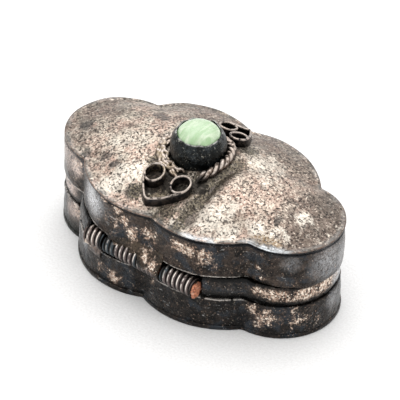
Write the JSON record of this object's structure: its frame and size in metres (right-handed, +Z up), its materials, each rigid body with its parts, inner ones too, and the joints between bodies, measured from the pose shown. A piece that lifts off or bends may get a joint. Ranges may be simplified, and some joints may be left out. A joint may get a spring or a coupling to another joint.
{
  "type": "pill box",
  "caption": "Small lobed metal pill box: domed lid hinged along one long side, slip-over inner collar, round stone in a tall bezel with rope ring and wire scrolls.",
  "frame": {"origin": "centre of the bottom face, midway between the two long sides' lobes", "axes": "+X along the box, +Y away from the hinge, +Z up"},
  "size_m": [0.039, 0.0231, 0.0196],
  "materials": {
    "base_silver": "tarnished, worn",
    "collar_silver": "worn, speckled",
    "hinge_silver": "tarnished, ridged",
    "pin_copper": "dull copper",
    "lid_wall_silver": "tarnished, worn",
    "lid_top_silver": "worn satin, pitted",
    "bezel_silver": "blackened",
    "wire_silver": "tarnished",
    "green_stone": "polished"
  },
  "bodies": {
    "base": {"base_floor": "base_silver", "base_wall": "base_silver", "inner_collar": "collar_silver", "waist_band": "collar_silver", "knuckle_left": "hinge_silver", "knuckle_right": "hinge_silver", "hinge_pin": "pin_copper"},
    "lid": {"lid_wall": "lid_wall_silver", "lid_dome": "lid_top_silver", "knuckle_middle": "hinge_silver", "bezel": "bezel_silver", "stone_seat": "bezel_silver", "stone": "green_stone", "rope_ring": "wire_silver", "front_scroll": "wire_silver", "rear_scroll": "wire_silver"}
  },
  "joints": [
    {"name": "lid_hinge", "type": "hinge", "parent": "base", "child": "lid", "pos_m": [0, -0.0107, 0.00595], "axis": [1, 0, 0], "range_deg": [0, 110]}
  ]
}
